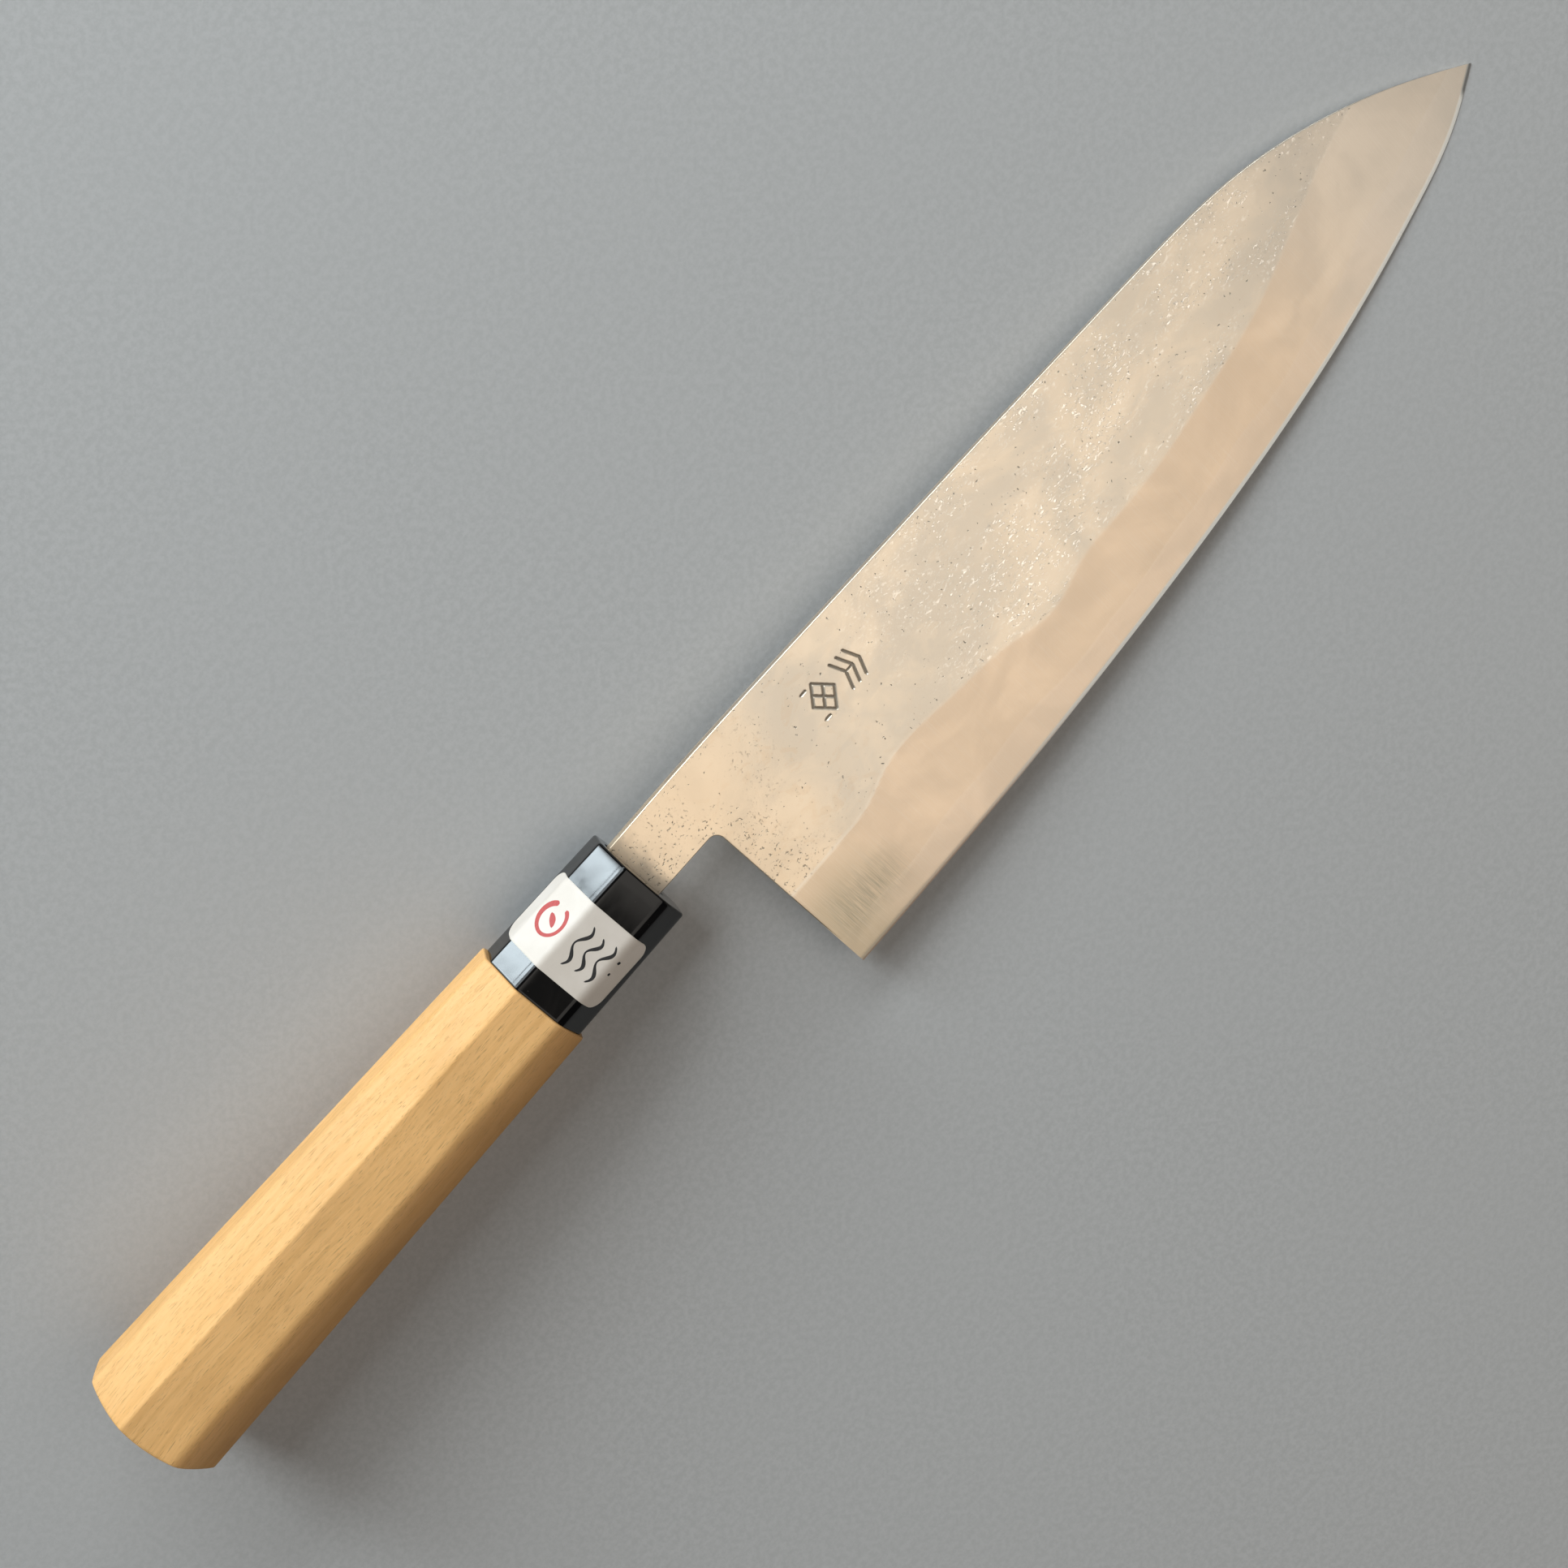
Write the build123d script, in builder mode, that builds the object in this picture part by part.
from build123d import *
import math
import os

# A chef knife of the Japanese kind: a three-layer blade with a hidden tang, glued into an
# octagonal wooden handle with a black collar. It lies on its left side, as on a table.
#
# Knife axes: x runs along the handle towards the tip, y towards the spine, z out of the
# right side. The knife's own origin is the middle of the collar's front face, and the
# plane z = 0 is the middle plane of the blade. All sizes are in millimetres.

# ---- How the knife lies: it leans on its edge near the tip and on the handle's front ----
ROLL = 4.14
PITCH = 2.27
KNIFE_ORIGIN = (-43.55, 15.56, 10.224)

# ---- Blade outline ----
HEEL_X = 16.0
BLADE_LENGTH = 210.0
TIP_X = HEEL_X + BLADE_LENGTH
TIP_Y = -15.7
SHOULDER_X = -3.0
SPINE_Y = 8.0
SPINE_POINTS = [
    (SHOULDER_X, SPINE_Y),
    (20.0, 8.35),
    (60.0, 8.0),
    (110.0, 7.2),
    (150.0, 6.3),
    (175.0, 4.6),
    (194.0, -0.1),
    (211.0, -7.2),
    (TIP_X, TIP_Y),
]
NECK_BOTTOM_Y = -5.2
CHOIL_RADIUS = 2.0
HEEL_Y = -45.4
HEEL_LEAN = 0.2
CHOIL_CORNER = (HEEL_X - HEEL_LEAN, NECK_BOTTOM_Y)
NECK_END = (SHOULDER_X, NECK_BOTTOM_Y)
BLANK_HALF_THICKNESS = 4.0
EDGE_POINTS = [
    (HEEL_X, HEEL_Y),
    (60.0, -44.4),
    (100.0, -42.1),
    (140.0, -38.3),
    (175.0, -32.8),
    (200.0, -26.8),
    (216.0, -21.3),
    (TIP_X, TIP_Y),
]

# ---- Blade thickness: each side is a plane that leans in towards the tip and the edge ----
NECK_HALF_THICKNESS = 1.6
TAPER_TO_TIP = 0.0046
TAPER_TO_EDGE = 0.0065
NECK_RELIEF_X = 4.0
NECK_RELIEF = 0.012
EDGE_HALF_THICKNESS = 0.12
# How far the tool that cuts each wide bevel runs on past the blade.
BEVEL_OVERRUN_X = 1.5
BEVEL_OVERRUN_RISE = 1.5
BEVEL_TOOL_REACH = 6.0
CORE_HALF_THICKNESS = 0.5
CORE_TAPER = 0.0011
# Height of the wide bevel's upper line, over the same stations as the edge points.
BEVEL_TOP = [-24.6, -23.2, -22.6, -20.0, -12.8, -5.8, -2.6, 0.0]

# ---- Tang ----
TANG_END_X = -95.0
TANG_FRONT = (9.0, 3.0)
TANG_TAIL = (5.0, 2.2)
CHANNEL_END_X = -98.0
CHANNEL_FRONT = (10.4, 4.4)
CHANNEL_TAIL = (6.0, 3.2)

# ---- Collar: octagon sizes are height, thickness and the leg of the corner facets ----
COLLAR_LENGTH = 30.0
COLLAR_FRONT = (21.6, 19.6, 5.6)
COLLAR_REAR = (22.4, 20.3, 5.7)
COLLAR_RIDGE_RADIUS = 0.7
BAR_STOCK = 50.0
COLLAR_RIM_RADIUS = 0.5
FRONT_WALL = 5.0
TENON_DIAMETER = 15.0
POCKET_HEIGHT = 14.6
POCKET_THICKNESS = 4.6
POCKET_CORNER = 1.2
SEAL_SINK = 0.3
POCKET_Y = (SPINE_Y + NECK_BOTTOM_Y) / 2

# ---- Wooden handle ----
HANDLE_REAR_X = -138.8
HANDLE_FRONT = (24.6, 22.2, 7.0)
HANDLE_REAR = (28.6, 25.8, 8.0)
HANDLE_RIDGE_RADIUS = 1.0
HANDLE_RIM_RADIUS = 0.4
BUTT_DOME_RADIUS = 34.0
BUTT_DOME_ANGLE = 32.0
BUTT_RIM_RADIUS = 3.5

# ---- Label ----
LABEL_THICKNESS = 0.15
LABEL_FRONT_X = -8.8
LABEL_WIDTH = 15.6
LABEL_CORNER = 2.4
LABEL_TOP_Z = -3.1
LABEL_BOTTOM_DROP = 6.2
LABEL_REAR_X = LABEL_FRONT_X - LABEL_WIDTH

KNIFE = Plane(KNIFE_ORIGIN).rotated((ROLL, PITCH, 0))
KNIFE_X = Axis(KNIFE.origin, KNIFE.x_dir)


def place(x, y, z):
    """The point at (x, y, z) on the knife's own axes."""
    return KNIFE.from_local_coords((x, y, z))


def direction(x, y, z):
    """The direction (x, y, z) on the knife's own axes."""
    return KNIFE.x_dir * x + KNIFE.y_dir * y + KNIFE.z_dir * z


def across(x, y=0.0):
    """The plane square to the handle at x: its own X runs to the spine, its Y to the right."""
    return Plane(place(x, y, 0), x_dir=KNIFE.y_dir, z_dir=KNIFE.x_dir)


def facing(point, normal):
    """The plane through a point of the knife, with its normal on the knife's axes."""
    return Plane(place(*point), z_dir=direction(*normal))


def facet_distance(size, angle):
    """Distance from the axis to the facet that faces the given angle, 0 being the spine side."""
    height, thickness, leg = size
    if angle % 180 == 0:
        return height / 2
    if angle % 180 == 90:
        return thickness / 2
    return (height / 2 + thickness / 2 - leg) / math.sqrt(2)


def half_thickness_at(x, y):
    """Distance of the blade's flat side from its middle plane."""
    return NECK_HALF_THICKNESS - TAPER_TO_TIP * x - TAPER_TO_EDGE * (SPINE_Y - y)


def square_to_handle(face):
    """True for a face square to the handle's axis."""
    return abs(face.normal_at().dot(KNIFE.x_dir)) > 0.999


def octagon_bar(front_x, front_size, rear_x, rear_size, ridge_radius, grow=0.0):
    """A tapered octagonal bar along the handle, with softened ridges."""
    with BuildPart() as bar:
        with BuildSketch(across(rear_x)):
            Rectangle(BAR_STOCK, BAR_STOCK)
        extrude(amount=front_x - rear_x)
        for angle in range(0, 360, 45):
            front = facet_distance(front_size, angle) + grow
            rear = facet_distance(rear_size, angle) + grow
            slope = (front - rear) / (front_x - rear_x)
            up = math.cos(math.radians(angle))
            out = math.sin(math.radians(angle))
            split(bisect_by=facing((front_x, front * up, front * out), (-slope, up, out)), keep=Keep.BOTTOM)
        ends = bar.faces().filter_by(square_to_handle)
        fillet(bar.edges() - ends.edges(), ridge_radius + grow)
    return bar.part


os.makedirs("parts", exist_ok=True)

# ---- Blade blank: the whole laminated forging, before it is parted into its layers ----
with BuildPart() as blank:
    with BuildSketch(KNIFE.offset(-BLANK_HALF_THICKNESS)):
        with BuildLine():
            Spline(*SPINE_POINTS)
            Spline(*EDGE_POINTS)
            FilletPolyline(EDGE_POINTS[0], CHOIL_CORNER, NECK_END, radius=CHOIL_RADIUS)
            Line(NECK_END, SPINE_POINTS[0])
        make_face()
    extrude(amount=2 * BLANK_HALF_THICKNESS)
    # Flat sides, which taper to the tip and towards the edge, and are dressed thinner at the neck.
    for side in (1, -1):
        side_plane = facing((0, SPINE_Y, side * NECK_HALF_THICKNESS), (TAPER_TO_TIP, -TAPER_TO_EDGE, side))
        split(bisect_by=side_plane, keep=Keep.BOTTOM)
        relief_z = side * half_thickness_at(NECK_RELIEF_X, SPINE_Y)
        neck_plane = facing((NECK_RELIEF_X, SPINE_Y, relief_z), (-NECK_RELIEF, -TAPER_TO_EDGE, side))
        split(bisect_by=neck_plane, keep=Keep.BOTTOM)
    # Wide bevels down to the edge.
    for side in (1, -1):
        for (x, edge_y), top_y in zip(EDGE_POINTS, BEVEL_TOP):
            if x == HEEL_X:
                x = x - BEVEL_OVERRUN_X
            if x == TIP_X:
                x = x + BEVEL_OVERRUN_X
            top_z = half_thickness_at(x, top_y)
            over_y = edge_y + BEVEL_OVERRUN_RISE * (top_y - edge_y)
            over_z = EDGE_HALF_THICKNESS + BEVEL_OVERRUN_RISE * (top_z - EDGE_HALF_THICKNESS)
            under_y = edge_y - BEVEL_TOOL_REACH
            with BuildSketch(across(x)):
                with BuildLine():
                    Polyline(
                        (edge_y, side * EDGE_HALF_THICKNESS),
                        (over_y, side * over_z),
                        (over_y, side * BEVEL_TOOL_REACH),
                        (under_y, side * BEVEL_TOOL_REACH),
                        (under_y, side * EDGE_HALF_THICKNESS),
                        close=True,
                    )
                make_face()
        loft(mode=Mode.SUBTRACT)
    # Tang, stepped in behind the neck.
    for x, size in ((SHOULDER_X, TANG_FRONT), (TANG_END_X, TANG_TAIL)):
        with BuildSketch(across(x)):
            Rectangle(*size)
    loft(ruled=True)

# ---- The blade's three layers ----
CORE_RIGHT = facing((0, 0, CORE_HALF_THICKNESS), (CORE_TAPER, 0, 1))
CORE_LEFT = facing((0, 0, -CORE_HALF_THICKNESS), (CORE_TAPER, 0, -1))

with BuildPart() as blade_core:
    add(blank.part)
    split(bisect_by=CORE_RIGHT, keep=Keep.BOTTOM)
    split(bisect_by=CORE_LEFT, keep=Keep.BOTTOM)
blade_core.part.label = "blade_core"
export_step(blade_core.part, "parts/blade_core.step")

for name, plane in (("cladding_right", CORE_RIGHT), ("cladding_left", CORE_LEFT)):
    with BuildPart() as cladding:
        add(blank.part)
        split(bisect_by=plane, keep=Keep.TOP)
    cladding.part.label = name
    export_step(cladding.part, f"parts/{name}.step")

# ---- Tapered channel that takes the tang ----
with BuildPart() as channel:
    for x, size in ((SHOULDER_X, CHANNEL_FRONT), (CHANNEL_END_X, CHANNEL_TAIL)):
        with BuildSketch(across(x)):
            Rectangle(*size)
    loft(ruled=True)

with BuildPart() as tang_bedding:
    add(channel.part)
    add(blank.part, mode=Mode.SUBTRACT)
tang_bedding.part.label = "tang_bedding"
export_step(tang_bedding.part, "parts/tang_bedding.step")

# ---- Collar ----
collar_bar = octagon_bar(0, COLLAR_FRONT, -COLLAR_LENGTH, COLLAR_REAR, COLLAR_RIDGE_RADIUS)

with BuildPart() as ferrule:
    add(collar_bar)
    front_face = ferrule.faces().filter_by(square_to_handle).sort_by(KNIFE_X)[-1]
    fillet(front_face.edges(), COLLAR_RIM_RADIUS)
    with BuildSketch(across(-COLLAR_LENGTH)):
        Circle(TENON_DIAMETER / 2)
    extrude(amount=COLLAR_LENGTH - FRONT_WALL, mode=Mode.SUBTRACT)
    with BuildSketch(across(SHOULDER_X)):
        with Locations((POCKET_Y, 0)):
            RectangleRounded(POCKET_HEIGHT, POCKET_THICKNESS, POCKET_CORNER)
    extrude(amount=-SHOULDER_X, mode=Mode.SUBTRACT)
    add(channel.part, mode=Mode.SUBTRACT)
ferrule.part.label = "ferrule"
export_step(ferrule.part, "parts/ferrule.step")

with BuildPart() as tang_seal:
    with BuildSketch(across(SHOULDER_X)):
        with Locations((POCKET_Y, 0)):
            RectangleRounded(POCKET_HEIGHT, POCKET_THICKNESS, POCKET_CORNER)
    extrude(amount=-SHOULDER_X - SEAL_SINK)
    add(blank.part, mode=Mode.SUBTRACT)
tang_seal.part.label = "tang_seal"
export_step(tang_seal.part, "parts/tang_seal.step")

# ---- Wooden handle ----
with BuildPart() as handle:
    add(octagon_bar(-COLLAR_LENGTH, HANDLE_FRONT, HANDLE_REAR_X, HANDLE_REAR, HANDLE_RIDGE_RADIUS))
    butt_face, front_face = handle.faces().filter_by(square_to_handle).sort_by(KNIFE_X)
    fillet(butt_face.edges(), BUTT_RIM_RADIUS)
    fillet(front_face.edges(), HANDLE_RIM_RADIUS)
    with BuildSketch(KNIFE):
        with BuildLine():
            dome = JernArc((HANDLE_REAR_X, 0), (0, 1), BUTT_DOME_RADIUS, -BUTT_DOME_ANGLE)
            Polyline(dome @ 1, (0, (dome @ 1).Y), (0, 0), dome @ 0)
        make_face()
    revolve(axis=KNIFE_X, mode=Mode.INTERSECT)
    with BuildSketch(across(-COLLAR_LENGTH)):
        Circle(TENON_DIAMETER / 2)
    extrude(amount=COLLAR_LENGTH - FRONT_WALL)
    add(channel.part, mode=Mode.SUBTRACT)
handle.part.label = "handle"
export_step(handle.part, "parts/handle.step")

# ---- Label, wrapped over the collar's right side from the top facet down ----
right_ridge_y = -COLLAR_FRONT[0] / 2 + COLLAR_FRONT[2]
right_ridge_z = COLLAR_FRONT[1] / 2
drop = LABEL_BOTTOM_DROP / math.sqrt(2)
lower_end = (0, right_ridge_y - drop, right_ridge_z - drop)

with BuildPart() as label:
    add(octagon_bar(0, COLLAR_FRONT, -COLLAR_LENGTH, COLLAR_REAR, COLLAR_RIDGE_RADIUS, grow=LABEL_THICKNESS))
    add(collar_bar, mode=Mode.SUBTRACT)
    split(bisect_by=facing((LABEL_FRONT_X, 0, 0), (1, 0, 0)), keep=Keep.BOTTOM)
    split(bisect_by=facing((LABEL_REAR_X, 0, 0), (1, 0, 0)), keep=Keep.TOP)
    split(bisect_by=facing((0, 0, LABEL_TOP_Z), (0, 0, 1)), keep=Keep.TOP)
    split(bisect_by=facing(lower_end, (0, 1, 1)), keep=Keep.TOP)
    corners = label.edges().filter_by(lambda edge: edge.length < 2 * LABEL_THICKNESS)
    fillet(corners, LABEL_CORNER)
label.part.label = "label"
export_step(label.part, "parts/label.step")
